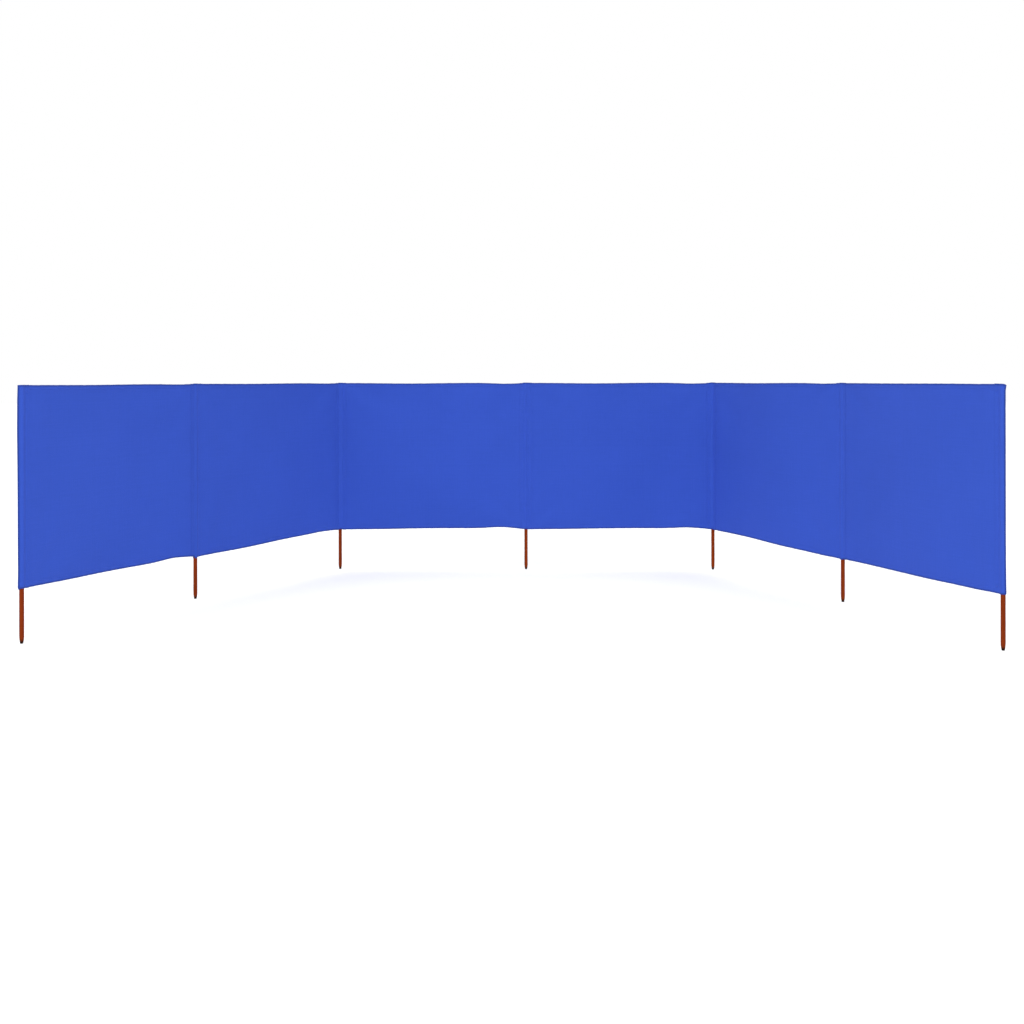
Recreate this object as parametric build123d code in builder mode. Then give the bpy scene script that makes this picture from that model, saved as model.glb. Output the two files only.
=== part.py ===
from build123d import *
import math
import os

# Beach windbreak: a long strip of cloth held up by seven round wooden poles,
# one at each end of its six bays. The poles stand in closed sleeves sewn into
# the cloth, and their blunt tips are pushed into the sand.
# Millimetres. The origin is on the flat end of the centre pole's tip, +X runs
# to the right along the two middle bays, +Z is up, and the two wings come
# forward, towards -Y.

# Poles
pole_length = 1000.0
pole_diameter = 18.0
tip_length = 30.0
tip_diameter = 11.0
tip_round = 2.5
top_chamfer = 2.0

# Plan, from the left end to the right end
bay_pitch = 1000.0
bay_headings = (65.9, 57.6, 0.0, 0.0, -63.0, -69.6)
bay_bow_angles = (4.0, 4.0, 9.0, 9.0, -5.0, -5.0)

# Cloth
ply = 0.8
ply_gap = 0.3
cloth_height = 792.0
hem_width = 18.0

# Pole sleeves
sleeve_gap = 0.5
cap_gap = 1.0
seam_start = 18.0
seam_width = 14.0
mouth_hem_width = 14.0
sleeve_drops = (7.0, 12.0, 2.0, 2.0, 2.0, 10.0, 3.0)

# Sizes that follow from these
pole_radius = pole_diameter / 2
tip_radius = tip_diameter / 2
bay_count = len(bay_headings)
pole_count = bay_count + 1
centre_pole = bay_count // 2
cloth_top = pole_length + cap_gap + ply
cloth_bottom = cloth_top - cloth_height
slot_half = ply / 2 + ply_gap
seam_half = slot_half + ply
sleeve_bore = pole_radius + sleeve_gap
sleeve_radius = sleeve_bore + ply
seam_end = seam_start + seam_width
taper_depth = pole_radius - tip_radius
taper_bend = (taper_depth**2 + tip_length**2) / (2 * taper_depth)
taper_turn = math.asin((tip_length - tip_round) / taper_bend)


def walk(start, heading, distance):
    """The point reached from a start point by going a distance along a heading."""
    angle = math.radians(heading)
    return (start[0] + distance * math.cos(angle), start[1] + distance * math.sin(angle))


def pole_places():
    """The pole axes in plan, one pitch apart, walked out from the centre pole."""
    places = [(0.0, 0.0)]
    for heading in bay_headings[centre_pole:]:
        places.append(walk(places[-1], heading, bay_pitch))
    for heading in reversed(bay_headings[:centre_pole]):
        places.insert(0, walk(places[0], heading, -bay_pitch))
    return places


def seam_headings(index):
    """The directions in which the cloth leaves a pole, towards each bay that it carries."""
    leaving = []
    if index > 0:
        leaving.append(bay_headings[index - 1] - bay_bow_angles[index - 1] + 180.0)
    if index < bay_count:
        leaving.append(bay_headings[index] + bay_bow_angles[index])
    return leaving


def wedge_points(radius, half):
    """The cloth's two plies in plan, running tangent from the pole to where they meet."""
    reach = math.hypot(seam_start, half)
    turn = math.atan2(half, seam_start) + math.acos(radius / reach)
    touch_x = radius * math.cos(turn)
    touch_y = radius * math.sin(turn)
    return ((0, 0), (touch_x, -touch_y), (seam_start, -half), (seam_start, half), (touch_x, touch_y))


def sleeve_outline(radius, half, headings, seam_length):
    """Plan of a sleeve: round on the pole, drawn in to a flat seam along each heading."""
    Circle(radius)
    for heading in headings:
        Polygon(*wedge_points(radius, half), rotation=heading, align=None)
        Rectangle(seam_length, 2 * half, rotation=heading, align=(Align.MIN, Align.CENTER))


def taper_point(turn):
    """A point of the tip's curved taper, by its turn down from the pole's straight side."""
    across = pole_radius - taper_bend * (1 - math.cos(turn))
    return (across, tip_length - taper_bend * math.sin(turn))


def bay_plane(index):
    """The level plane of one bay, with its origin on the left pole and X along the bay."""
    return Plane(origin=(*places[index], 0), x_dir=(*walk((0, 0), bay_headings[index], 1), 0))


def cloth_path(index, from_pole):
    """The line of one bay's cloth in plan: straight in the seams, bowed between them."""
    bow = bay_bow_angles[index]
    near = walk((0, 0), bow, from_pole)
    near_seam = walk((0, 0), bow, seam_end)
    half_span = bay_pitch / 2 - near_seam[0]
    middle = (bay_pitch / 2, near_seam[1] + half_span * math.tan(math.radians(bow) / 2))
    far_seam = (bay_pitch - near_seam[0], near_seam[1])
    far = (bay_pitch - near[0], near[1])
    with BuildLine(bay_plane(index)) as path:
        if from_pole < seam_end:
            Line(near, near_seam)
        ThreePointArc(near_seam, middle, far_seam)
        if from_pole < seam_end:
            Line(far_seam, far)
    return path.line


def section_plane(path):
    """The upright plane across the cloth where a path starts, with Y up."""
    along = path % 0
    return Plane(origin=path @ 0, x_dir=Vector(0, 0, 1).cross(along), z_dir=along)


places = pole_places()
os.makedirs("parts", exist_ok=True)

# Poles: dowels with their top edge taken off, and a tip that tapers in a long
# curve down to a blunt end, rounded off in two cuts
taper_start = taper_point(taper_turn)
blunt_end = (tip_radius - tip_round, 0)
between_cuts = (blunt_end[0] + 0.7 * (taper_start[0] - blunt_end[0]), 0.3 * tip_round)
for index in range(pole_count):
    axis_plane = Plane(origin=(*places[index], 0), x_dir=(1, 0, 0), z_dir=(0, -1, 0))
    with BuildPart() as pole:
        with BuildSketch(axis_plane):
            with BuildLine():
                ThreePointArc(taper_start, taper_point(taper_turn / 2), (pole_radius, tip_length))
                Polyline(
                    (pole_radius, tip_length),
                    (pole_radius, pole_length - top_chamfer),
                    (pole_radius - top_chamfer, pole_length),
                    (0, pole_length),
                    (0, 0),
                    blunt_end,
                    between_cuts,
                    taper_start,
                )
            make_face()
        revolve(axis=Axis((*places[index], 0), (0, 0, 1)))
    pole.part.label = f"pole_{index + 1}"
    export_step(pole.part, f"parts/{pole.part.label}.step")

# Sleeves: a tube of cloth round each pole, closed over its top. Its front and
# back plies are drawn together beside the pole, and hold the bays' edges
# between them. A turned hem stiffens the mouth at the bottom.
for index in range(pole_count):
    headings = seam_headings(index)
    mouth = cloth_bottom - sleeve_drops[index]
    mouth_plane = Plane(origin=(*places[index], mouth))
    with BuildPart() as sleeve:
        with BuildSketch(mouth_plane):
            sleeve_outline(sleeve_radius, seam_half, headings, seam_end)
        extrude(amount=cloth_top - mouth)
        with BuildSketch(mouth_plane):
            sleeve_outline(sleeve_radius + ply, seam_half + ply, headings, seam_end)
        extrude(amount=mouth_hem_width)
        with BuildSketch(mouth_plane):
            sleeve_outline(sleeve_bore, slot_half, headings, seam_end + ply)
        extrude(amount=cloth_top - ply - mouth, mode=Mode.SUBTRACT)
    sleeve.part.label = f"sleeve_{index + 1}"
    export_step(sleeve.part, f"parts/{sleeve.part.label}.step")

# Bays: one ply of cloth from the seam of one sleeve to the seam of the next
panel_top = cloth_top - ply - ply_gap
panel_bottom = cloth_bottom + ply + ply_gap
for index in range(bay_count):
    path = cloth_path(index, seam_start + ply_gap)
    with BuildPart() as bay:
        with BuildSketch(section_plane(path)):
            with Locations((0, panel_bottom)):
                Rectangle(ply, panel_top - panel_bottom, align=(Align.CENTER, Align.MIN))
        sweep(path=path)
    bay.part.label = f"bay_{index + 1}"
    export_step(bay.part, f"parts/{bay.part.label}.step")

# Hems: cloth folded over each long edge of a bay and sewn through
for index in range(bay_count):
    path = cloth_path(index, seam_end)
    for name, edge, inward in (("top_hem", cloth_top, -1), ("bottom_hem", cloth_bottom, 1)):
        fold_align = (Align.CENTER, Align.MIN if inward > 0 else Align.MAX)
        with BuildPart() as hem:
            with BuildSketch(section_plane(path)):
                with Locations((0, edge)):
                    Rectangle(2 * seam_half, hem_width, align=fold_align)
                with Locations((0, edge + inward * ply)):
                    Rectangle(2 * slot_half, hem_width, align=fold_align, mode=Mode.SUBTRACT)
            sweep(path=path)
        hem.part.label = f"{name}_{index + 1}"
        export_step(hem.part, f"parts/{hem.part.label}.step")
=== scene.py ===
# %% [markdown]
# # A beach windbreak, dressed on its CAD frame
#
# The real object is a long strip of blue cloth held up by seven stained wooden poles, with two bays across
# the back and two wings of two bays each that come forward. A CAD frame already holds each pole, sleeve, hem
# and bay at its true size. So this lesson adds only what cloth and wood do: bows, folds, seams, stitches,
# weave and grain.

# %% Load the fixed frame
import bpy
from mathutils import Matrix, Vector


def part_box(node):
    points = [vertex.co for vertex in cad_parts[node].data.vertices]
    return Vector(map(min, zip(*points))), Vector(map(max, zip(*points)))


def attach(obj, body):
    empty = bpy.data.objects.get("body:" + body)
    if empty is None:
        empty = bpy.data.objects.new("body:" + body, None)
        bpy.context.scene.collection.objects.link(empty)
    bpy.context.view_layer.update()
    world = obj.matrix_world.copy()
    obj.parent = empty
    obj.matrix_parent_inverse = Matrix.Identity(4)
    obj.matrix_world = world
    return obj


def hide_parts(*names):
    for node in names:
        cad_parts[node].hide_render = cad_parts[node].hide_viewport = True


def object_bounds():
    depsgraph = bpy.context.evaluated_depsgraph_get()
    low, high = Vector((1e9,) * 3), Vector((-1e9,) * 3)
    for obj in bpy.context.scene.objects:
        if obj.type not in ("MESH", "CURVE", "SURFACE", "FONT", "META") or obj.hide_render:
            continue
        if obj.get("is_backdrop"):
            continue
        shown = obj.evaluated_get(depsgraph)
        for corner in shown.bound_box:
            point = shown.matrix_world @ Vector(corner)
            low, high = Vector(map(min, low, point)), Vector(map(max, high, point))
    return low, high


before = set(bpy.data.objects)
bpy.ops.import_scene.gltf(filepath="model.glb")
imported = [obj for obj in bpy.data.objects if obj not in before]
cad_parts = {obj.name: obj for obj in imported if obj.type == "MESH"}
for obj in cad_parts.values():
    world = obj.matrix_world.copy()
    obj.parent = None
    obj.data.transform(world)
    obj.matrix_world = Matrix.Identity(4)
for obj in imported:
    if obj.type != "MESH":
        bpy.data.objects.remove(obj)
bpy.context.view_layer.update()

# %% [markdown]
# ## Where the poles and the cloth are
#
# A sewn piece has to meet its pole to within a millimetre. Typed numbers would drift when the frame changes,
# so the poles' axes and the cloth's top and bottom edges are read from the CAD nodes' boxes.

# %% Read the poles and the cloth's edges
import math

import bmesh
import bpy
import numpy as np

scene = bpy.context.scene
pole_numbers = range(1, 8)
bay_numbers = range(1, 7)
end_poles = (1, 7)
mid_height = 0.6


def pole_place(pole):
    """A pole's axis in plan."""
    low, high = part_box(f"pole_{pole}")
    return np.array([(low.x + high.x) / 2, (low.y + high.y) / 2])


pole_at = {pole: pole_place(pole) for pole in pole_numbers}
cloth_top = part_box("sleeve_4")[1].z
cloth_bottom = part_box("bottom_hem_3")[0].z
print("Poles at", {pole: place.round(3).tolist() for pole, place in pole_at.items()})
print("Cloth from", round(cloth_bottom, 4), "to", round(cloth_top, 4))

# %% Lay a line from pole to pole for each bay
bay_along, bay_outward, bay_pitch = {}, {}, {}
for bay in bay_numbers:
    span = pole_at[bay + 1] - pole_at[bay]
    bay_pitch[bay] = float(np.linalg.norm(span))
    bay_along[bay] = span / bay_pitch[bay]
    bay_outward[bay] = np.array([-bay_along[bay][1], bay_along[bay][0]])
print("Bay pitches", {bay: round(pitch, 4) for bay, pitch in bay_pitch.items()})

# %% [markdown]
# ## How the cloth hangs between two poles
#
# A light breeze from the front right bows every bay to its lee side, deepest a little past the middle. The
# stitched long edges pull in: the top dips in two soft places, and the bottom sags after one pole and lifts
# before the next, or the other way round in the right wing. A cloth simulation would not settle where the
# photograph shows it. So the cloth is a function: a distance along the bay and a height give a point.

# %% The curves that the cloth is made of
def swell(share, place, spread):
    """A smooth bump of height 1."""
    return np.exp(-(((share - place) / spread) ** 2))


def ease(value, low, high):
    """0 below low, 1 above high, and smooth between."""
    share = np.clip((value - low) / (high - low), 0, 1)
    return share * share * (3 - 2 * share)


def unevenness(seed, along, lengths, size):
    """A small wander made of waves, with lengths in the unit of along."""
    phases = np.random.default_rng(seed).uniform(0, 2 * np.pi, len(lengths))
    waves = [np.sin(2 * np.pi * along / length + phase) for length, phase in zip(lengths, phases)]
    return size * sum(waves) / len(lengths)


# %% Keep every random draw the same at each run
seeds = {
    "wrinkles": 40, "top": 100, "bottom": 200, "hems": 300, "seams": 400, "slack": 500,
    "hem rows": 0, "seam rows": 900, "mouth rows": 950, "tacks": 970,
}

# %% Bow each bay to its lee side
bow_depth = {1: 0.0187, 2: 0.0187, 3: 0.0398, 4: 0.0398, 5: -0.0233, 6: -0.0233}


def bow(bay, share):
    """How far the cloth stands off its poles' line, at a share of the way along."""
    return bow_depth[bay] * np.sin(np.pi * (share + share**2) / 2)


print("Deepest bow", max(bow_depth.values()), "m")

# %% Shape the long edges
# A dip, lift or sag is a height, a share of the way along the bay and a spread. Below zero, a lift or sag
# goes the other way.
top_dips = ((0.003, 0.37, 0.2), (0.0042, 0.89, 0.09))
top_dip_scale = {1: 0.5, 2: 0.5, 3: 1.0, 4: 1.0, 5: 0.6, 6: 0.2}
top_shift_at_pole = {1: 0.0008, 2: 0.0006, 3: 0.0, 4: -0.0006, 5: -0.0012, 6: 0.0, 7: 0.001}
top_fold_below = 0.0012
hem_lift = (0.0075, 0.87, 0.09)
hem_lift_scale = {1: 1.0, 2: 0.5, 3: 1.0, 4: 0.9, 5: -0.3, 6: -0.3}
hem_sag = {
    1: (0.0015, 0.2, 0.15), 2: (0.0062, 0.27, 0.28), 3: (0.0015, 0.2, 0.15),
    4: (0.0014, 0.2, 0.15), 5: (-0.0035, 0.38, 0.2), 6: (-0.0005, 0.2, 0.15),
}
hem_shift_at_pole = {1: 0.004, 2: -0.012, 3: 0.003, 4: 0.005, 5: 0.005, 6: -0.0125, 7: 0.003}
top_waves, bottom_waves = (0.031, 0.053, 0.083), (0.029, 0.047, 0.089)
edge_wander = 0.0004


def between_poles(shift_at_pole, bay, share):
    """A shift that is known at every pole, drawn out straight over a bay."""
    return shift_at_pole[bay] * (1 - share) + shift_at_pole[bay + 1] * share


def top_edge(bay, share):
    """Height of a bay's top fold."""
    dip = sum(height * swell(share, place, spread) for height, place, spread in top_dips)
    wander = unevenness(seeds["top"] + bay, share, top_waves, edge_wander)
    shift = between_poles(top_shift_at_pole, bay, share)
    return cloth_top - top_fold_below + shift - top_dip_scale[bay] * dip + wander


def bottom_edge(bay, share):
    """Height of a bay's bottom fold."""
    height, place, spread = hem_lift
    lift = hem_lift_scale[bay] * height * swell(share, place, spread)
    depth, place, spread = hem_sag[bay]
    sag = depth * swell(share, place, spread)
    wander = unevenness(seeds["bottom"] + bay, share, bottom_waves, edge_wander)
    return cloth_bottom + between_poles(hem_shift_at_pole, bay, share) + lift - sag + wander


print("Top edge of bay 3 dips to", round(top_edge(3, top_dips[1][1]), 4))

# %% A window that keeps the seams still
seam_start, seam_end = 0.018, 0.032
free_fade = (seam_end, 0.14)


def off_poles(bay, distance, low, high):
    """0 up to low from either pole of a bay, 1 beyond high, and smooth between."""
    return ease(distance, low, high) * ease(bay_pitch[bay] - distance, low, high)


# %% Broad waves, and fans of soft folds from the four corners
broad_waves, broad_height = 5, 0.001
waves_across, waves_up = (0.5, 2.4), (-1.4, 1.4)
fan_height, fan_reach, fan_folds = 0.0016, (0.13, 0.2), (7, 10)


def wrinkles(bay, distance, rise):
    """How far wrinkles move the free cloth. rise goes from 0 to 1."""
    dice = np.random.default_rng(seeds["wrinkles"] + bay)
    share = distance / bay_pitch[bay]
    stand = 0
    for _ in range(broad_waves):
        across, up, phase = dice.uniform(*waves_across), dice.uniform(*waves_up), dice.uniform(0, 2 * np.pi)
        stand = stand + broad_height * np.sin(2 * np.pi * (across * share + up * rise) + phase)
    for corner_share, corner_rise in ((0, 0), (0, 1), (1, 0), (1, 1)):
        x = np.abs(share - corner_share) * bay_pitch[bay]
        z = np.abs(rise - corner_rise) * (cloth_top - cloth_bottom)
        reach = np.hypot(x, z) / dice.uniform(*fan_reach)
        folds = np.cos(dice.uniform(*fan_folds) * np.arctan2(z, x) + dice.uniform(0, 2 * np.pi))
        stand = stand + fan_height * reach * np.exp(1 - reach) * folds
    return stand * off_poles(bay, distance, *free_fade)


# %% Pucker the cloth where thread pulls it
hem_row = 0.0155
seam_rows = (0.0155, 0.0285)
pucker_height, pucker_reach = 0.0006, 0.014
hem_pucker_waves, hem_pucker_from = (0.021, 0.033, 0.055), 0.05
seam_pucker_waves, seam_pucker_rise = (0.035, 0.051, 0.083), (0.012, 0.024)


def puckers(bay, distance, z, low, high):
    """Fine ripples beside the hems' stitches and the sleeves' seams."""
    stand = 0
    clear = off_poles(bay, distance, seam_end, hem_pucker_from)
    for number, edge in enumerate((low, high)):
        away = np.abs(np.abs(z - edge) - hem_row)
        seed = seeds["hems"] + 10 * bay + number
        ripple = unevenness(seed, distance, hem_pucker_waves, pucker_height)
        stand = stand + ripple * np.exp(-away / pucker_reach) * clear
    for number, inward in enumerate((distance, bay_pitch[bay] - distance)):
        away = np.maximum(inward - seam_rows[1], 0)
        seed = seeds["seams"] + 10 * bay + number
        ripple = unevenness(seed, z, seam_pucker_waves, pucker_height)
        stand = stand + ripple * np.exp(-away / pucker_reach) * ease(inward, *seam_pucker_rise)
    return stand


# %% The cloth as one function
# Beside a pole the cloth is sewn forward of its axis, so the sleeve's front is nearly level.
forward_set, forward_fade = 0.005, (0.033, 0.18)
belly = 0.1
nudge = 0.001


def cloth_point(bay, distance, z, off):
    """Points of a bay's cloth, by distance along it, height, and offset outward through it."""
    distance, z, off = np.broadcast_arrays(np.asarray(distance, float), np.asarray(z, float), off)
    share = distance / bay_pitch[bay]
    low, high = bottom_edge(bay, share), top_edge(bay, share)
    rise = np.clip((z - low) / (high - low), 0, 1)
    full = 1 + belly * np.sin(np.pi * rise) * off_poles(bay, distance, *free_fade)
    forward = forward_set * (1 - off_poles(bay, distance, *forward_fade))
    stand = bow(bay, share) * full - forward
    stand = stand + wrinkles(bay, distance, rise) + puckers(bay, distance, z, low, high)
    slope = (bow(bay, share + nudge) - bow(bay, share - nudge)) / (2 * nudge * bay_pitch[bay])
    square = np.hypot(1, slope)
    along = distance - off * slope / square
    out = stand + off / square
    plan = pole_at[bay] + along[..., None] * bay_along[bay] + out[..., None] * bay_outward[bay]
    return np.concatenate([plan, z[..., None]], -1)


print("Middle of bay 3 is at", cloth_point(3, bay_pitch[3] / 2, mid_height, 0.0).round(4).tolist())

# %% [markdown]
# ## From points to a piece
#
# A flat plane could be bent with modifiers. Here every surface is a grid of points from the functions above,
# so that stitches, hems and sleeves follow the cloth exactly. Each piece also gets a UV map called threads,
# in metres, for its weave, and a number called fold_shade, which is 1 along a sharp fold, where painted shade
# darkens the cloth's colour.

# %% Turn points and faces into a piece
fold_fade = (0.0025, 0.009)


def add_object(name, data):
    """A new object in the scene."""
    added = bpy.data.objects.new(name, data)
    scene.collection.objects.link(added)
    return added


def make_piece(name, points, faces, threads, shade=None):
    """A smooth mesh on the frame, with each point's place along the threads and its fold shade."""
    mesh = bpy.data.meshes.new(name)
    mesh.from_pydata(np.asarray(points, float).reshape(-1, 3).tolist(), [], faces)
    corners = np.zeros(len(mesh.loops), np.int32)
    mesh.loops.foreach_get("vertex_index", corners)
    layer = mesh.uv_layers.new(name="threads")
    layer.data.foreach_set("uv", np.asarray(threads, np.float32).reshape(-1, 2)[corners].ravel())
    if shade is not None:
        shades = mesh.attributes.new("fold_shade", "FLOAT", "POINT")
        shades.data.foreach_set("value", np.ravel(shade).astype(np.float32))
    mesh.polygons.foreach_set("use_smooth", np.ones(len(mesh.polygons), bool))
    mesh.update()
    piece = add_object(name, mesh)
    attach(piece, "root")
    return piece


def fold_line(depth):
    """How much shade is painted by a sharp fold: 1 on the fold, and 0 from 9 mm behind it."""
    return 1 - ease(depth, *fold_fade)


def run_length(line):
    """How far along a line of points each of them is."""
    return np.concatenate([[0], np.cumsum(np.linalg.norm(np.diff(line, axis=0), axis=1))])


def grid_faces(columns, rows, first=0, flip=False):
    """Quads over a grid of points, numbered column by column."""
    column, row = np.meshgrid(np.arange(columns - 1), np.arange(rows - 1), indexing="ij")
    corner = first + column * rows + row
    quads = np.stack([corner, corner + rows, corner + rows + 1, corner + 1], -1).reshape(-1, 4)
    return (quads[:, ::-1] if flip else quads).tolist()


# %% [markdown]
# ## The bays
#
# Each bay is one ply of cloth. A Solidify modifier would leave its rim to chance, so the bay is a front grid
# and a back grid, 0.8 mm apart, joined round the rim into one closed sheet. They are finest close to the
# edges, where the stitching puckers the cloth.

# %% Build the six bays
ply = 0.0008
bay_columns = 176
slot_gap = 0.0003
edge_clearance = 0.0011
edge_rows = np.array([0, 4, 8, 12, 15.5, 19, 23, 28, 35, 45]) / 1000
middle_rows = np.linspace(0, 1, 42)[1:-1]


def make_bay(bay):
    """One closed sheet of cloth from the seam of one sleeve to the seam of the next."""
    start = seam_start + slot_gap
    distance = np.linspace(start, bay_pitch[bay] - seam_start - slot_gap, bay_columns)[:, None]
    share = distance / bay_pitch[bay]
    low = bottom_edge(bay, share) + edge_clearance
    tall = top_edge(bay, share) - edge_clearance - low
    lowest = np.broadcast_to(edge_rows, (bay_columns, len(edge_rows)))
    middle = edge_rows[-1] + (tall - 2 * edge_rows[-1]) * middle_rows
    z = low + np.concatenate([lowest, middle, tall - edge_rows[::-1]], 1)
    front = cloth_point(bay, distance, z, -ply / 2)
    back = cloth_point(bay, distance, z, ply / 2)
    rows = z.shape[1]
    count = bay_columns * rows
    faces = grid_faces(bay_columns, rows) + grid_faces(bay_columns, rows, count, flip=True)
    bottom, side = np.arange(bay_columns) * rows, np.arange(rows)
    rims = ((bottom, False), (bottom + rows - 1, True), (side, True), (side + count - rows, False))
    for line, turned in rims:
        rim = np.stack([line[:-1], line[:-1] + count, line[1:] + count, line[1:]], -1)
        faces += (rim[:, ::-1] if turned else rim).tolist()
    threads = np.stack(np.broadcast_arrays(distance + bay, z), -1)
    return make_piece(f"bay_cloth_{bay}", [front, back], faces, [threads, threads])


bays = {bay: make_bay(bay) for bay in bay_numbers}
for bay, piece in bays.items():
    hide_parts(f"bay_{bay}")
print("Bays have", len(bays[3].data.polygons), "faces each")

# %% [markdown]
# ## The hems
#
# Along both long edges the cloth is turned twice to the outside and sewn through. A bevel could only round
# the rim, so the hem's real section is swept along the edge: the fold, the puffed middle, the pinch at the
# thread and the free edge outside, and one smooth ply inside.

# %% The hem's section, as depth from the fold and offset outward
hem_start = 0.0222
hem_section = np.array([
    (18.6, -0.45), (17.0, -0.54), (16.0, -0.49), (15.5, -0.46), (15.0, -0.49), (13.5, -0.57), (10.0, -0.66),
    (6.0, -0.7), (2.5, -0.66), (0.9, -0.44), (0.15, 0.15), (0.0, 0.9), (0.3, 1.7), (1.2, 2.35),
    (3.0, 2.75), (6.5, 2.9), (10.5, 2.75), (13.5, 2.4), (15.0, 1.98), (15.5, 1.86), (16.0, 1.98),
    (17.0, 2.2), (17.7, 2.05), (18.05, 1.5), (18.0, 0.9), (17.8, 0.45),
]) / 1000


def make_hem(bay, edge, toward):
    """A turned hem along a long edge. toward is -1 for the top, where it goes down from the fold."""
    corners = len(hem_section)
    distance = np.linspace(hem_start, bay_pitch[bay] - hem_start, bay_columns)[:, None]
    depth, off = hem_section.T[:, None]
    fold = edge(bay, distance / bay_pitch[bay])
    points = cloth_point(bay, distance, fold + toward * depth, off)
    column = np.arange(bay_columns - 1)[:, None] * corners
    here, following = np.arange(corners), (np.arange(corners) + 1) % corners
    ring = (column + here, column + following, column + corners + following, column + corners + here)
    faces = np.stack(ring, -1).reshape(-1, 4).tolist()
    faces += [list(range(corners))[::-1], list(range((bay_columns - 1) * corners, bay_columns * corners))]
    if toward < 0:
        faces = [face[::-1] for face in faces]
    threads = np.stack(np.broadcast_arrays(distance + bay, run_length(hem_section)[None, :]), -1)
    # Painted shade along the hem's fold
    shade = np.broadcast_to(fold_line(depth), points.shape[:2])
    return points, faces, threads, shade


hems = {}
for bay in bay_numbers:
    for side, edge, toward in (("top", top_edge, -1), ("bottom", bottom_edge, 1)):
        hem = make_piece(f"{side}_hem_cloth_{bay}", *make_hem(bay, edge, toward))
        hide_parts(f"{side}_hem_{bay}")
        hems[side, bay] = hem
print("Hems have", len(hems["top", 3].data.polygons), "faces each")

# %% [markdown]
# ## The sleeves
#
# A sleeve is cloth that goes round the pole, in front and behind, and is sewn to the bays in two rows beside
# it, at its flanges. It is shut over the pole's top, and its open mouth has a turned hem. A flattened tube
# could stand for it, but here its plan is laid out as a tailor would: flat at the seam, tangent on to the
# pole, and round on it. On the two end poles it is loose, and folds beyond the pole.

# %% The way the cloth leaves its pole
both_faces = ("front", "back")
sleeve_line = 0.0099
pinch = 0.0011
knee_away = 0.0132


def flange_bay(pole, side):
    """The bay on a pole's right (+1) or left (-1), or None."""
    bay = pole if side > 0 else pole - 1
    return bay if bay in bay_numbers else None


def flange_distance(bay, side, away):
    """A distance away from the pole as a distance along its bay."""
    return away if side > 0 else bay_pitch[bay] - away


def beside_pole(pole, side, away, z, off):
    """Points of the cloth on one side of a pole, at a distance away from it."""
    bay = flange_bay(pole, side)
    return cloth_point(bay, flange_distance(bay, side, away), z, off)


def towards(heading):
    """The level unit vector with a heading."""
    return np.array([math.cos(heading), math.sin(heading)])


def flange_heading(pole, side):
    """The direction of the cloth at a seam, away from its pole."""
    near, far = (beside_pole(pole, side, away, mid_height, 0.0)[:2] for away in seam_rows)
    return math.atan2(far[1] - near[1], far[0] - near[0])


print("Cloth leaves pole 4 at", round(math.degrees(flange_heading(4, 1)), 1), "degrees")

# %% The steps of a flange, from its free edge in
# The places are distances from the pole's axis, and the lifts say how far the plies stand apart there.
flange_places = (0.0326, 0.0323, 0.0316, 0.03, seam_rows[1], 0.027, 0.0235, 0.02, 0.017, seam_rows[0])
flange_lift = (0.62, 0.9, 1.03, 1.05, 0.9, 1.05, 1.08, 1.08, 1.03, 0.9)
bend_steps, straight_steps = 4, 3
touch_away = 0.004


def run_in(step, seam, knee, touch):
    """The last steps: round the knee, then straight to where the cloth touches the pole."""
    half_way = (knee + touch) / 2
    if step <= bend_steps:
        bend = step / bend_steps
        return (1 - bend) ** 2 * seam + 2 * bend * (1 - bend) * knee + bend**2 * half_way
    return half_way + (touch - half_way) * (step - bend_steps) / straight_steps


last_steps = range(1, bend_steps + straight_steps + 1)
flange_aways = [*flange_places, *(run_in(step, seam_rows[0], knee_away, touch_away) for step in last_steps)]
print("A flange has", len(flange_aways), "columns")

# %% A flange's columns
lump_height = 0.0018
lump_below_top, lump_above_bottom = (0.02, 0.027), (0.026, 0.033)
clear_share = 0.3


def hem_lump(z):
    """Extra room at the back where the bays' hems run into the seam."""
    between = ease(cloth_top - z, *lump_below_top) * ease(z - cloth_bottom, *lump_above_bottom)
    return lump_height * (1 - between)


def flange_off(face, z):
    """How far a ply stands off the middle of the bay's cloth."""
    return -pinch if face == "front" else pinch + hem_lump(z)


def knee_place(pole, side, face):
    """Where a ply bends from its seam towards the pole, in plan."""
    return beside_pole(pole, side, knee_away, mid_height, flange_off(face, mid_height))[:2]


def way_round(side, face):
    """+1 where a ply goes anticlockwise round its pole from the seam, or -1."""
    return 1 if (face == "front") == (side < 0) else -1


def touch_heading(pole, side, face):
    """The heading at which a ply from a seam touches its pole."""
    knee = knee_place(pole, side, face) - pole_at[pole]
    return math.atan2(knee[1], knee[0]) + way_round(side, face) * math.acos(sleeve_line / math.hypot(*knee))


def passes_clear(pole, face):
    """Whether a ply goes straight from seam to seam across the inside of a corner."""
    if pole in end_poles:
        return False
    turn = touch_heading(pole, 1, face) - touch_heading(pole, -1, face)
    return (turn if face == "front" else -turn) % (2 * math.pi) > 1.5 * math.pi


def on_sleeve_line(pole, heading):
    """A point on the round part of a sleeve."""
    return pole_at[pole] + sleeve_line * towards(heading)


def touch_place(pole, side, face):
    """Where a ply meets its pole, or a point on its straight way across a corner."""
    if passes_clear(pole, face):
        near, far = knee_place(pole, side, face), knee_place(pole, -side, face)
        return near + clear_share * (far - near)
    return on_sleeve_line(pole, touch_heading(pole, side, face))


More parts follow.
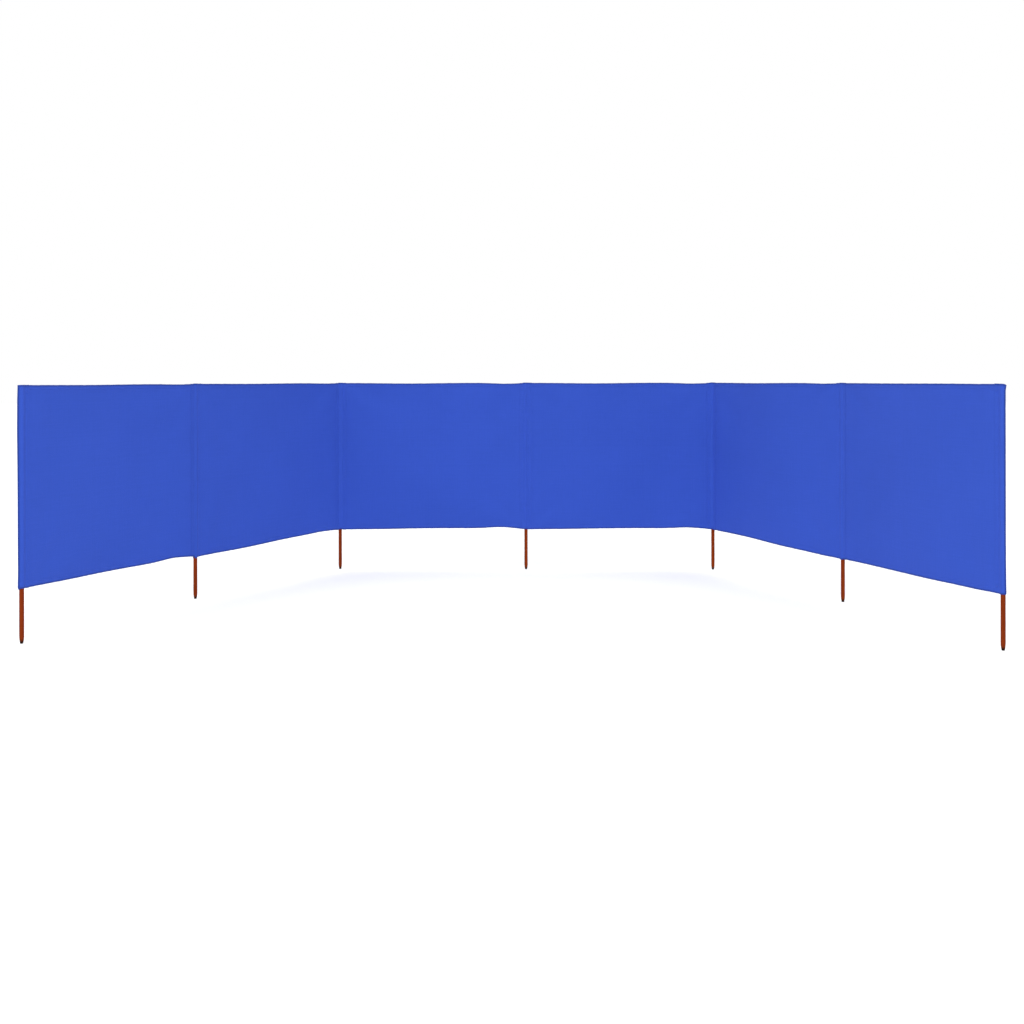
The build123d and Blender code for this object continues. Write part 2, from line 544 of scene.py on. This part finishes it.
def flange_column(pole, side, face, step, z):
    """Plan points of one step of a flange at the heights z."""
    off = flange_off(face, z)
    if step < len(flange_places):
        return beside_pole(pole, side, flange_places[step], z, off * flange_lift[step])[..., :2]
    knee = beside_pole(pole, side, knee_away, z, off)[..., :2]
    seam = beside_pole(pole, side, seam_rows[0], z, off * flange_lift[-1])[..., :2]
    return run_in(step - len(flange_places) + 1, seam, knee, touch_place(pole, side, face))


print("Front ply passes clear of poles", [pole for pole in pole_numbers if passes_clear(pole, "front")])


# %% The outer fold of an end sleeve
# Each pair is a height, and how far the fold reaches from the pole's axis there.
fold_reach = {
    1: (
        (0.2, 0.0128), (0.209, 0.0134), (0.213, 0.015), (0.22, 0.0176), (0.231, 0.018), (0.285, 0.0167),
        (0.362, 0.0174), (0.517, 0.0178), (0.671, 0.0187), (0.825, 0.0204), (0.941, 0.0194),
        (0.987, 0.0178), (1.002, 0.0175),
    ),
    7: (
        (0.2, 0.0108), (0.2078, 0.011), (0.2116, 0.0122), (0.2154, 0.0136), (0.226, 0.015), (0.264, 0.0143),
        (0.377, 0.0128), (0.527, 0.0108), (0.943, 0.0108), (0.973, 0.0127), (0.988, 0.015), (1.002, 0.018),
    ),
}
fold_round = 0.0013
shortest_fold = 1.003 * sleeve_line


def fold_column(pole, side, face, part, z):
    """Plan points of a loose fold, from part 0 on its pole to part 1 at its edge."""
    heights, reaches = zip(*fold_reach[pole])
    centre = np.maximum(np.interp(z, heights, reaches), shortest_fold) - fold_round
    turn_in = np.arccos((sleeve_line - fold_round) / centre)
    heading, sense = flange_heading(pole, side), way_round(side, face)
    first_turn = sense * (touch_heading(pole, side, face) - heading) % (2 * math.pi)
    on_pole = sleeve_line * (math.pi - turn_in - first_turn)
    straight = np.sqrt(centre**2 - (sleeve_line - fold_round) ** 2)
    done = part * (on_pole + straight + fold_round * turn_in)
    turn = first_turn + np.minimum(done, on_pole) / sleeve_line
    beyond = np.clip(done - on_pole, 0, straight)
    rounding = np.maximum(done - on_pole - straight, 0) / fold_round
    out = towards(heading)
    across = sense * np.array([-out[1], out[0]])
    last = turn + rounding
    inward = sleeve_line * np.cos(turn) - beyond * np.sin(turn) + fold_round * (np.cos(last) - np.cos(turn))
    sideways = sleeve_line * np.sin(turn) + beyond * np.cos(turn) + fold_round * (np.sin(last) - np.sin(turn))
    return pole_at[pole] + inward[..., None] * out + sideways[..., None] * across


print("A loose fold lies beyond poles", list(fold_reach))

# %% List a sleeve's columns from right to left
arc_shares = np.linspace(0, 1, 13)[1:-1]
fold_parts = (*np.linspace(0, 0.94, 22)[1:], 0.96, 0.98, 1.0)


def sleeve_columns(pole):
    """Each column as its kind, its flange's side, and its step or share."""
    flanges = {side: [("flange", side, step) for step in range(len(flange_aways))] for side in (1, -1)}
    if pole not in end_poles:
        return flanges[1] + [("arc", 0, share) for share in arc_shares] + flanges[-1][::-1]
    side = 1 if flange_bay(pole, 1) else -1
    fold = [("fold", side, part) for part in fold_parts]
    return flanges[1] + fold if side > 0 else fold[::-1] + flanges[-1][::-1]


def column_plan(pole, face, column, z):
    """Plan points of any column at the heights z."""
    kind, side, place = column
    if kind == "flange":
        return flange_column(pole, side, face, place, z)
    if kind == "fold":
        return fold_column(pole, side, face, place, z)
    if passes_clear(pole, face):
        right, left = touch_place(pole, 1, face), touch_place(pole, -1, face)
        return np.broadcast_to(right + (left - right) * place, z.shape + (2,))
    right, left = touch_heading(pole, 1, face), touch_heading(pole, -1, face)
    turn = (left - right) % (2 * math.pi) - (2 * math.pi if face == "front" else 0)
    return np.broadcast_to(on_sleeve_line(pole, right + turn * place), z.shape + (2,))


print("Sleeve 4 has", len(sleeve_columns(4)), "columns a face")

# %% Where each column starts and stops
# Each pair is a share across the sleeve, from right to left or from the seam to a loose fold, and how far
# its mouth is there below the bays' bottom fold, or its top below the cloth's top. Below zero is above it.
mouth_drop = {
    1: ((0.0, -0.0005), (0.7, -0.0005), (0.93, 0.003), (1.0, 0.0025)),
    2: ((0.0, 0.0025), (1.0, 0.0075)),
    3: ((0.0, -0.002),), 4: ((0.0, -0.001),), 5: ((0.0, -0.001),), 6: ((0.0, 0.003),),
    7: ((0.0, 0.0018), (0.85, 0.0014), (1.0, 0.002)),
}
top_drop = {
    1: ((0.0, 0.0004), (1.0, 0.0012)),
    7: ((0.0, 0.0012), (0.3, 0.0018), (0.6, 0.0036), (1.0, 0.0065)),
}
mouth_to_edge, top_to_edge = (0.0085, 0.014), (0.0085, 0.02)
past_bottom, past_top = 0.0005, 0.0007


def column_ends(pole, column):
    """The heights of a column's foot and head."""
    kind, side, place = column
    across = place if kind != "flange" else int(side < 0 and pole != 7)
    meeting = ((pole - 1, 1.0), (pole, 0.0))
    folds = [bottom_edge(bay, share) for bay, share in meeting if bay in bay_numbers]
    low = sum(folds) / len(folds) - np.interp(across, *zip(*mouth_drop[pole]))
    drop = np.interp(across, *zip(*top_drop.get(pole, ((0.0, 0.0),))))
    high = cloth_top + top_shift_at_pole[pole] - drop
    if kind == "flange":
        bay, away = flange_bay(pole, side), flange_aways[place]
        share = flange_distance(bay, side, away) / bay_pitch[bay]
        low_out, high_out = ease(away, *mouth_to_edge), ease(away, *top_to_edge)
        low = low * (1 - low_out) + (bottom_edge(bay, share) - past_bottom) * low_out
        high = high * (1 - high_out) + (top_edge(bay, share) + past_top) * high_out
    return low, high


print("Sleeve 2 goes down to", round(column_ends(2, ("arc", 0, 0.5))[0], 4))

# %% The turned hem at the mouth
level_marks = np.concatenate([
    [0, 0.5, 1.2, 2.5, 5, 8, 10.5, 11.0, 11.5, 13, 13.8, 14.5, 16, 19, 24, 30],
    np.linspace(40, 740, 68), [748, 756, 763, 770, 777, 783, 787],
])
sleeve_levels = level_marks / level_marks[-1]
mouth_row_level = 7
mouth_row, mouth_row_spread = level_marks[mouth_row_level] / 1000, 0.0012
mouth_puff, mouth_puff_end = 0.0007, (0.0135, 0.0146)
mouth_pinch = 0.0004
mouth_round, mouth_round_end = 0.0006, 0.0016


def mouth_turn(above):
    """How far the turned mouth hem stands out, by height above the mouth."""
    puff = mouth_puff * (1 - ease(above, *mouth_puff_end))
    puff = puff - mouth_pinch * swell(above, mouth_row, mouth_row_spread)
    return puff - mouth_round * (1 - ease(above, 0.0, mouth_round_end))


def unit(vectors):
    """The same vectors, each with a length of 1."""
    return vectors / np.maximum(np.linalg.norm(vectors, axis=-1, keepdims=True), 1e-9)


def outward_of(columns, face):
    """Unit vectors square to a face's plan, pointing out of the sleeve."""
    run = unit(np.gradient(columns, axis=0))
    turned = np.stack([-run[..., 1], run[..., 0]], -1)
    return turned if face == "front" else -turned


# %% Lay out both faces of a sleeve and close them over the pole
cap_steps = np.radians([8, 17, 28, 41, 55, 70, 90])
cap_level = 0.99
cap_least, cap_by_width = 0.001, 0.25
slack_waves, slack_height, slack_spread = (0.083, 0.131, 0.211), 0.0005, 0.6


def sleeve_faces(pole):
    """Points of the front and back face, as arrays of columns by rows."""
    columns = sleeve_columns(pole)
    low, high = np.array([column_ends(pole, column) for column in columns]).T
    level = np.full(1, cap_level)
    front, back = (np.concatenate([column_plan(pole, face, column, level) for column in columns])
                   for face in both_faces)
    cap = cap_least + cap_by_width * np.linalg.norm(front - back, axis=-1)
    folds = [end for end in (0, -1) if columns[end][0] == "fold"]
    cap[folds] = 0
    z = low[:, None] + (high - cap - low)[:, None] * sleeve_levels[None, :]
    slack_share = swell(np.linspace(-1, 1, len(columns)), 0, slack_spread)[:, None]
    faces = {}
    for number, face in enumerate(both_faces):
        plan = np.stack([column_plan(pole, face, column, heights) for column, heights in zip(columns, z)])
        seed = seeds["slack"] + 10 * pole + number
        slack = unevenness(seed, z, slack_waves, slack_height) * slack_share
        stand = mouth_turn(z - low[:, None]) + np.maximum(slack, 0)
        plan = plan + outward_of(plan, face) * stand[..., None]
        faces[face] = np.concatenate([plan, z[..., None]], -1)
    for end in folds:
        faces["front"][end] = faces["back"][end] = (faces["front"][end] + faces["back"][end]) / 2
    middle = (faces["front"][:, -1, :2] + faces["back"][:, -1, :2]) / 2
    for face in faces:
        reach = faces[face][:, -1, :2] - middle
        rings = []
        for step in cap_steps:
            height = high - cap + cap * math.sin(step) ** 0.5
            rings.append(np.concatenate([middle + reach * math.cos(step) ** 0.5, height[:, None]], -1))
        faces[face] = np.concatenate([faces[face], np.stack(rings, 1)], 1)
    return faces


# %% Paint shade on a sleeve's folds, and beside or over its pole
# Each pair is a distance from the pole's axis, below zero on its left, and the shade there. The shade is
# painted: a crease line beside pole 1, and a band over pole 2 that is darkest on its left flange.
band_shade = {
    1: ((0.0075, 0.0), (0.0105, 0.14), (0.0135, 0.0)),
    2: ((-0.033, 0.0), (-0.032, 0.13), (-0.029, 0.1), (0.006, 0.08), (0.014, 0.03), (0.032, 0.01)),
}
outer_fold = (0.62, 0.88)


def sleeve_shade(pole, face, points):
    """Painted shade: 1 along the mouth, the closed top and an outer fold, and a little beside or over the
    pole.
    """
    from_mouth = points[..., 2] - points[:, :1, 2]
    from_top = points[:, -1:, 2] - points[..., 2]
    fold = [ease(place, *outer_fold) if kind == "fold" else 0.0 for kind, side, place in sleeve_columns(pole)]
    shade = np.maximum(np.maximum(fold_line(from_mouth), fold_line(from_top)), np.array(fold)[:, None])
    sides = (1, -1) if face == "front" and pole in band_shade else ()
    for side in sides:
        if flange_bay(pole, side):
            along = side * ((points[..., :2] - pole_at[pole]) @ towards(flange_heading(pole, side)))
            here = np.interp(along, *zip(*band_shade[pole]), left=0.0, right=0.0)
            shade = np.maximum(shade, np.where(side * along >= 0, here, 0.0))
    return shade


# %% Make the seven sleeves
sewn_within = 1e-5


def make_sleeve(pole):
    """A sleeve's two faces as one mesh, sewn together where they meet over the pole."""
    sides = sleeve_faces(pole)
    columns, rows = sides["front"].shape[:2]
    faces = grid_faces(columns, rows, flip=True) + grid_faces(columns, rows, columns * rows)
    threads = []
    for face in both_faces:
        across = 20 + pole + run_length(sides[face][:, rows // 2])[:, None]
        up = run_length(sides[face][columns // 2])[None, :]
        threads.append(np.stack(np.broadcast_arrays(across, up), -1))
    shade = [sleeve_shade(pole, face, sides[face]) for face in both_faces]
    sleeve = make_piece(f"sleeve_cloth_{pole}", [sides["front"], sides["back"]], faces, threads, shade)
    sewn = bmesh.new()
    sewn.from_mesh(sleeve.data)
    bmesh.ops.remove_doubles(sewn, verts=sewn.verts, dist=sewn_within)
    sewn.to_mesh(sleeve.data)
    sewn.free()
    thick = sleeve.modifiers.new("cloth thickness", "SOLIDIFY")
    thick.thickness = ply
    thick.offset = 0
    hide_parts(f"sleeve_{pole}")
    return sleeve, sides


sleeves, sleeve_sides = {}, {}
for pole in pole_numbers:
    sleeves[pole], sleeve_sides[pole] = make_sleeve(pole)
print("Sleeves have", len(sleeves[4].data.polygons), "faces each")

# %% [markdown]
# ## The stitches
#
# At arm's length the eye finds cloth by its stitches. A bump map would vanish in profile, so each stitch is a
# small pointed grain of thread, laid along the surface with its ends sunk in the cloth.

# %% One stitch, and a row of them along a line
stitch_pitch = 0.004
stitch_wander = 0.00012
stitch_points = np.array([
    (-1.55, 0, -0.12), (-0.85, -0.26, 0.02), (-0.85, 0, 0.26), (-0.85, 0.26, 0.02), (-0.85, 0, -0.15),
    (0.85, -0.26, 0.02), (0.85, 0, 0.26), (0.85, 0.26, 0.02), (0.85, 0, -0.15), (1.55, 0, -0.12),
]) / 1000
stitch_faces = [
    (0, 1, 2), (0, 2, 3), (0, 3, 4), (0, 4, 1), (1, 5, 6, 2), (2, 6, 7, 3), (3, 7, 8, 4), (4, 8, 5, 1),
    (9, 6, 5), (9, 7, 6), (9, 8, 7), (9, 5, 8),
]


def along_line(at, run, values):
    """The values at some distances, between those known at the distances run."""
    return np.stack([np.interp(at, run, values[:, k]) for k in range(3)], -1)


def stitch_row(line, outward, seed, pitch=stitch_pitch):
    """Points of every stitch along a line on a surface with outward vectors."""
    run = run_length(line)
    at = np.arange(pitch / 2, run[-1] - pitch / 4, pitch)
    at = at + np.random.default_rng(seed).uniform(-stitch_wander, stitch_wander, len(at))
    place = along_line(at, run, line)
    ahead = unit(along_line(at + nudge, run, line) - place)
    up = along_line(at, run, outward)
    up = unit(up - (up * ahead).sum(1, keepdims=True) * ahead)
    axes = np.stack([ahead, np.cross(up, ahead), up], 1)
    return place[:, None] + stitch_points[None] @ axes


def make_stitches(name, rows):
    """One mesh of all the stitches in several rows."""
    points = np.concatenate(rows)
    firsts = range(0, len(points) * len(stitch_points), len(stitch_points))
    faces = [tuple(first + corner for corner in face) for first in firsts for face in stitch_faces]
    return make_piece(name, points, faces, points.reshape(-1, 3)[:, :2])


# %% Sew the hems
hem_line_points = 230
hem_line_start = 0.034
hem_surfaces = ((-0.00046, -1), (0.00186, 1))


def square_off(bay, count, sign):
    """Level vectors square to a bay, pointing to its front (-1) or its back (+1)."""
    return np.repeat(np.append(bay_outward[bay] * sign, 0.0)[None], count, 0)


hem_stitches = {}
for bay in bay_numbers:
    distance = np.linspace(hem_line_start, bay_pitch[bay] - hem_line_start, hem_line_points)
    rows = []
    for number, (edge, toward) in enumerate(((top_edge, -1), (bottom_edge, 1))):
        z = edge(bay, distance / bay_pitch[bay]) + toward * hem_row
        seed = seeds["hem rows"] + 10 * bay + number
        for off, sign in hem_surfaces:
            line = cloth_point(bay, distance, z, off)
            rows.append(stitch_row(line, square_off(bay, hem_line_points, sign), seed))
    hem_stitches[bay] = make_stitches(f"hem_stitches_{bay}", rows)
print("Stitches in bay 3's hems:", len(hem_stitches[3].data.vertices) // len(stitch_points))

# %% Sew the seams, with a bar tack at both ends of each
seam_line_points = 240
seam_margin = 0.003
tack_aways = (0.0175, 0.02, 0.0225, 0.026)
tack_heights = np.linspace(-0.003, 0.003, 7)
tack_pitch, tack_lift, tack_inset = 0.0025, 1.07, 0.026


def seam_line(pole, side, face, away, z, lift):
    """A line on a flange at one distance from the pole, and the way out there."""
    sign = -1 if face == "front" else 1
    off = np.broadcast_to(flange_off(face, z) * lift + sign * ply / 2, z.shape)
    return beside_pole(pole, side, away, z, off), square_off(flange_bay(pole, side), len(z), sign)


def bar_tack(pole, side, face, middle):
    """A block of close stitches across a seam, which takes the pull at its end."""
    rows = []
    for number, z in enumerate(middle + tack_heights):
        places = [seam_line(pole, side, face, away, np.array([z]), tack_lift) for away in tack_aways]
        line, outward = (np.concatenate(parts) for parts in zip(*places))
        rows.append(stitch_row(line, outward, seeds["tacks"] + number, tack_pitch))
    return rows


sleeve_stitches = {}
for pole in pole_numbers:
    rows = []
    for side in (-1, 1):
        bay = flange_bay(pole, side)
        if bay is None:
            continue
        share = flange_distance(bay, side, seam_rows[1]) / bay_pitch[bay]
        low, high = bottom_edge(bay, share), top_edge(bay, share)
        heights = np.linspace(low + seam_margin, high - seam_margin, seam_line_points)
        for face in both_faces:
            for away in seam_rows:
                line, outward = seam_line(pole, side, face, away, heights, flange_lift[-1])
                rows.append(stitch_row(line, outward, seeds["seam rows"] + pole))
            for middle in (low + tack_inset, high - tack_inset):
                rows += bar_tack(pole, side, face, middle)
    for face in both_faces:
        line = sleeve_sides[pole][face][:, mouth_row_level]
        outward = np.append(outward_of(line[:, None, :2], face)[:, 0], np.zeros((len(line), 1)), 1)
        rows.append(stitch_row(line + outward * ply / 2, outward, seeds["mouth rows"] + pole))
    sleeve_stitches[pole] = make_stitches(f"sleeve_stitches_{pole}", rows)
print("Stitches in sleeve 4:", len(sleeve_stitches[4].data.vertices) // len(stitch_points))

# %% [markdown]
# ## The look of the cloth
#
# An image of a weave would tile and blur, so the weave of the plain bright blue polyester is worked out from
# each point's place along the threads: two sets of half-round threads that pass over and under each other.

# %% Helpers for node trees
def new_group(name, inputs, outputs):
    """A node group whose outputs are numbers, with its two inner sets of sockets."""
    group = bpy.data.node_groups.new(name, "ShaderNodeTree")
    for socket, kind in inputs.items():
        group.interface.new_socket(socket, in_out="INPUT", socket_type=f"NodeSocket{kind}")
    for socket in outputs:
        group.interface.new_socket(socket, in_out="OUTPUT", socket_type="NodeSocketFloat")
    return group, group.nodes.new("NodeGroupInput").outputs, group.nodes.new("NodeGroupOutput").inputs


def empty_tree(owner):
    """The emptied node tree of a material or a world."""
    owner.use_nodes = True
    owner.node_tree.nodes.clear()
    return owner.node_tree


def put(tree, kind, inputs=None, **settings):
    """Adds a node, and fills its inputs with numbers or with links."""
    node = tree.nodes.new(f"ShaderNode{kind}")
    for name, value in settings.items():
        setattr(node, name, value)
    for name, value in (inputs or {}).items():
        if isinstance(value, bpy.types.NodeSocket):
            tree.links.new(value, node.inputs[name])
        else:
            node.inputs[name].default_value = value
    return node


def compute(tree, operation, *values):
    """A Math node's result."""
    return put(tree, "Math", dict(enumerate(values)), operation=operation).outputs[0]


def blend(tree, share, start, end):
    """A colour on the way from one to another, each a socket or three numbers."""
    start, end = (tint if isinstance(tint, bpy.types.NodeSocket) else (*tint, 1) for tint in (start, end))
    return put(tree, "Mix", {0: share, 6: start, 7: end}, data_type="RGBA").outputs[2]


def rescale(tree, value, low, high, start=0.0, end=1.0, **settings):
    """A value from low to high, carried over to the range from start to end."""
    return put(tree, "MapRange", {0: value, 1: low, 2: high, 3: start, 4: end}, **settings).outputs[0]


def streaks(tree, vector, stretch, inputs):
    """Noise that is drawn out where its stretch is small."""
    drawn = put(tree, "VectorMath", {0: vector, 1: stretch}, operation="MULTIPLY")
    return put(tree, "TexNoise", {"Vector": drawn.outputs[0], "Scale": 1.0, **inputs}).outputs[0]


def finish_surface(tree, colour, rough, specular, relief, inputs=None):
    """A principled shader. relief is a height, its depth in metres and its strength."""
    height, depth, strength = relief
    dent = put(tree, "Bump", {"Height": height, "Distance": depth, "Strength": strength})
    shader = put(tree, "BsdfPrincipled", {
        "Base Color": colour, "Roughness": rough, "Specular IOR Level": specular, "Normal": dent.outputs[0],
        **(inputs or {}),
    })
    put(tree, "OutputMaterial", {0: shader.outputs[0]})


# %% Plain weave: threads that cross over and under
thread_width = 0.0006
slub_stretches = ((260.0, 14.0, 1.0), (11.0, 260.0, 1.0))
weave, weave_in, weave_out = new_group(
    "Plain weave", {"Threads": "Vector", "Thread Width": "Float"}, ("Height", "Thread Tone", "Slub"),
)


def thread_set(coordinate, shift):
    """One set of threads: its wave, its roundness, and a tone for each thread."""
    at = compute(weave, "DIVIDE", coordinate, weave_in["Thread Width"])
    wave = compute(weave, "SINE", compute(weave, "MULTIPLY", at, math.pi))
    number = compute(weave, "ADD", compute(weave, "FLOOR", at), shift)
    tone = put(weave, "TexWhiteNoise", {"W": number}, noise_dimensions="1D").outputs["Value"]
    return wave, compute(weave, "ABSOLUTE", wave), tone


place = put(weave, "SeparateXYZ", {0: weave_in["Threads"]}).outputs
warp_wave, warp_round, warp_tone = thread_set(place[0], 0.0)
weft_wave, weft_round, weft_tone = thread_set(place[1], 0.5)
warp_over = compute(weave, "GREATER_THAN", compute(weave, "MULTIPLY", warp_wave, weft_wave), 0.0)
warp_height = compute(weave, "MULTIPLY", warp_round, compute(weave, "MULTIPLY_ADD", weft_round, 0.5, 0.5))
weft_height = compute(weave, "MULTIPLY", weft_round, compute(weave, "MULTIPLY_ADD", warp_round, 0.5, 0.5))
height = put(weave, "Mix", {0: warp_over, 2: weft_height, 3: warp_height}).outputs[0]
tone = put(weave, "Mix", {0: warp_over, 2: weft_tone, 3: warp_tone}).outputs[0]
slubs = [streaks(weave, weave_in["Threads"], stretch, {"Detail": 3.0}) for stretch in slub_stretches]
slub = compute(weave, "MULTIPLY", compute(weave, "ADD", *slubs), 0.5)
for socket, value in (("Height", height), ("Thread Tone", tone), ("Slub", slub)):
    weave.links.new(value, weave_out[socket])
print("Weave group has", len(weave.nodes), "nodes")

# %% The cloth's colour with painted fold shade, roughness and relief
bright_blue, deep_blue = (0.042, 0.104, 0.6), (0.031, 0.083, 0.49)
# The colour of the painted shade at folds
painted_shade_blue = tuple(part * 0.45 for part in deep_blue)

cloth_blue = bpy.data.materials.new("woven blue polyester")
tree = empty_tree(cloth_blue)
threads = put(tree, "UVMap", uv_map="threads").outputs[0]
woven = put(tree, "Group", {"Threads": threads, "Thread Width": thread_width}, node_tree=weave).outputs
place = put(tree, "TexCoord").outputs["Object"]
fade = put(tree, "TexNoise", {"Vector": place, "Scale": 2.2, "Detail": 4.0}).outputs[0]
mask = compute(tree, "MULTIPLY", woven["Slub"], 0.75)
mask = compute(tree, "MULTIPLY_ADD", woven["Thread Tone"], 0.3, mask)
mask = compute(tree, "ADD", mask, compute(tree, "MULTIPLY_ADD", fade, 0.5, -0.275))
colour = blend(tree, rescale(tree, mask, 0.1, 0.9), deep_blue, bright_blue)
# Painted shade: where fold_shade is 1, the colour goes three quarters of the way to a darker blue, along the
# folds and at the sleeves of poles 1 and 2.
fold = put(tree, "Attribute", attribute_name="fold_shade").outputs["Fac"]
colour = blend(tree, compute(tree, "MULTIPLY", fold, 0.75), colour, painted_shade_blue)
rough = rescale(tree, woven["Height"], 0.0, 1.0, 0.9, 0.74)
sheen = {"Sheen Weight": 0.03, "Sheen Roughness": 0.5}
finish_surface(tree, colour, rough, 0.15, (woven["Height"], 0.00018, 0.6), sheen)
for piece in [*bays.values(), *hems.values(), *sleeves.values()]:
    piece.data.materials.append(cloth_blue)

# %% The sewing thread
dark_thread, light_thread = (0.022, 0.06, 0.4), (0.045, 0.115, 0.62)

thread = bpy.data.materials.new("blue sewing thread")
tree = empty_tree(thread)
turns = {"Vector": put(tree, "TexCoord").outputs["Object"], "Scale": 900.0, "Distortion": 1.0}
twist = put(tree, "TexWave", turns, bands_direction="DIAGONAL").outputs["Fac"]
# Painted shade and highlight: the thread's colour is darker in the grooves of its twist and lighter on its
# ridges, from the same wave as its relief.
finish_surface(tree, blend(tree, twist, dark_thread, light_thread), 0.55, 0.3, (twist, 0.00005, 0.5))
for piece in [*hem_stitches.values(), *sleeve_stitches.values()]:
    piece.data.materials.append(thread)

# %% [markdown]
# ## The look of the poles
#
# The poles are hardwood dowels, dipped in a red-brown stain. Their CAD shape is already right, so only their
# finish is added. Long streaks that run up the pole, worked out from each point's place, look right from
# every side, as a painted image would not. The wood darkens to nearly black over the lowest 16 mm of the tip.

# %% Wood grain along the pole
# Each kind is how fine it is across and along the pole, and its detail.
grain_kinds = {"Grain": (330, 5, 5), "Pores": (900, 28, 2), "Figure": (60, 2.2, 3)}
grain, grain_in, grain_out = new_group("Dowel grain", {"Place": "Vector"}, grain_kinds)
for kind, (across, along, detail) in grain_kinds.items():
    noise = streaks(grain, grain_in["Place"], (across, across, along), {"Detail": detail, "Roughness": 0.6})
    grain.links.new(noise, grain_out[kind])

# %% The stained wood
pale_wood, warm_wood, dark_streak = (0.335, 0.049, 0.0055), (0.265, 0.034, 0.0035), (0.16, 0.02, 0.003)
pore_brown, tip_black = (0.09, 0.014, 0.003), (0.018, 0.007, 0.004)

stain = bpy.data.materials.new("stained hardwood")
tree = empty_tree(stain)
place = put(tree, "TexCoord").outputs["Object"]
wooden = put(tree, "Group", {"Place": place}, node_tree=grain).outputs
streak = rescale(tree, wooden["Grain"], 0.32, 0.68)
figure = rescale(tree, wooden["Figure"], 0.3, 0.7)
pore = rescale(tree, wooden["Pores"], 0.6, 0.72, 0.0, 0.6)
wood = blend(tree, streak, dark_streak, blend(tree, figure, warm_wood, pale_wood))
wood = blend(tree, pore, wood, pore_brown)
# The wood darkens to nearly black towards the bottom of the tip
height_at = put(tree, "SeparateXYZ", {0: place}).outputs[2]
ragged = compute(tree, "MULTIPLY_ADD", wooden["Grain"], -0.01, height_at)
tip = rescale(tree, ragged, -0.001, 0.016, 1.0, 0.0, interpolation_type="SMOOTHSTEP")
rough = rescale(tree, streak, 0.0, 1.0, 0.7, 0.58)
relief = compute(tree, "SUBTRACT", streak, pore)
finish_surface(tree, blend(tree, tip, wood, tip_black), rough, 0.06, (relief, 0.00012, 0.7))
for pole in pole_numbers:
    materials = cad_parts[f"pole_{pole}"].data.materials
    materials.clear()
    materials.append(stain)

# %% [markdown]

# %% [markdown]
# ## Floor, light and camera
#
# The photograph shows the windbreak cut out on white, with every bay equally bright. One lamp could not do
# that, but a sky that is brightest overhead lights upright cloth the same from all sides, and wide soft lamps
# add a little to the middle bays and the corners. A pale floor carries the tips and a soft shadow. The
# background is white by its colour, not by more light on the cloth.

# %% A pale floor that keeps the shadow
floor_mesh = bpy.data.meshes.new("floor")
floor_mesh.from_pydata([(-30, -12, 0), (30, -12, 0), (30, 40, 0), (-30, 40, 0)], [], [(0, 1, 2, 3)])
floor = add_object("floor", floor_mesh)
floor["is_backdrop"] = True
pale = bpy.data.materials.new("pale floor")
tree = empty_tree(pale)
ray = put(tree, "LightPath").outputs
matt = put(tree, "BsdfDiffuse", {"Color": (0.82, 0.82, 0.82, 1)})
glow = compute(tree, "MULTIPLY", ray["Is Camera Ray"], 0.22)
glowing = put(tree, "Emission", {"Strength": glow})
both = put(tree, "AddShader", {0: matt.outputs[0], 1: glowing.outputs[0]})
put(tree, "OutputMaterial", {0: both.outputs[0]})
floor_mesh.materials.append(pale)

# %% A soft sky that is brighter overhead, and white to the camera
level_light, overhead_light, overhead_power = 0.3, 1.85, 2.0

sky = bpy.data.worlds.new("sky")
scene.world = sky
tree = empty_tree(sky)
ray = put(tree, "LightPath").outputs
seen = compute(tree, "MAXIMUM", ray["Is Camera Ray"], ray["Is Glossy Ray"])
seen = compute(tree, "MAXIMUM", seen, ray["Is Transmission Ray"])
direction = put(tree, "TexCoord").outputs["Generated"]
upward = compute(tree, "MAXIMUM", put(tree, "SeparateXYZ", {0: direction}).outputs[2], 0.0)
overhead = compute(tree, "POWER", upward, overhead_power)
light = compute(tree, "MULTIPLY_ADD", overhead, overhead_light, level_light)
lit = put(tree, "Background", {"Color": (1, 1, 1, 1), "Strength": light})
white = put(tree, "Background", {"Color": (1, 1, 1, 1), "Strength": 1.0})
mix = put(tree, "MixShader", {0: seen, 1: lit.outputs[0], 2: white.outputs[0]})
put(tree, "OutputWorld", {0: mix.outputs[0]})

# %% Wide soft lamps all round
def hang_lamp(name, size, energy, place, lean, turn=0):
    """A soft rectangular lamp. It shines down at a lean of 0 and level at 90, and a turn swings it."""
    data = bpy.data.lights.new(name, "AREA")
    data.shape, data.size, data.size_y = "RECTANGLE", *size
    data.energy = energy
    lamp = add_object(name, data)
    lamp.location = place
    lamp.rotation_euler = (math.radians(lean), 0, math.radians(turn))


hang_lamp("front", (6.0, 3.0), 100, (0.0, -7.5, 2.2), 80)
hang_lamp("left", (4.0, 3.0), 60, (-7.0, -4.2, 4.6), 62, -66)
hang_lamp("right", (4.0, 3.0), 20, (7.0, -4.2, 4.6), 62, 66)
hang_lamp("behind", (6.0, 3.0), 45, (0.0, 8.0, 2.6), -78)

# %% The camera, where the photograph was taken from
camera_data = bpy.data.cameras.new("camera")
camera_data.sensor_width, camera_data.lens, camera_data.shift_y = 36.0, 40.584, -0.13083
camera = add_object("camera", camera_data)
camera.location = (0.039, -6.196, 1.0259)
camera.rotation_euler = tuple(math.radians(turn) for turn in (90, 0.09, 1.044))
scene.camera = camera
scene.view_settings.view_transform = "Standard"

# %% Print the visual box
low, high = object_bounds()
print("Visual box from", tuple(round(x, 4) for x in low), "to", tuple(round(x, 4) for x in high))
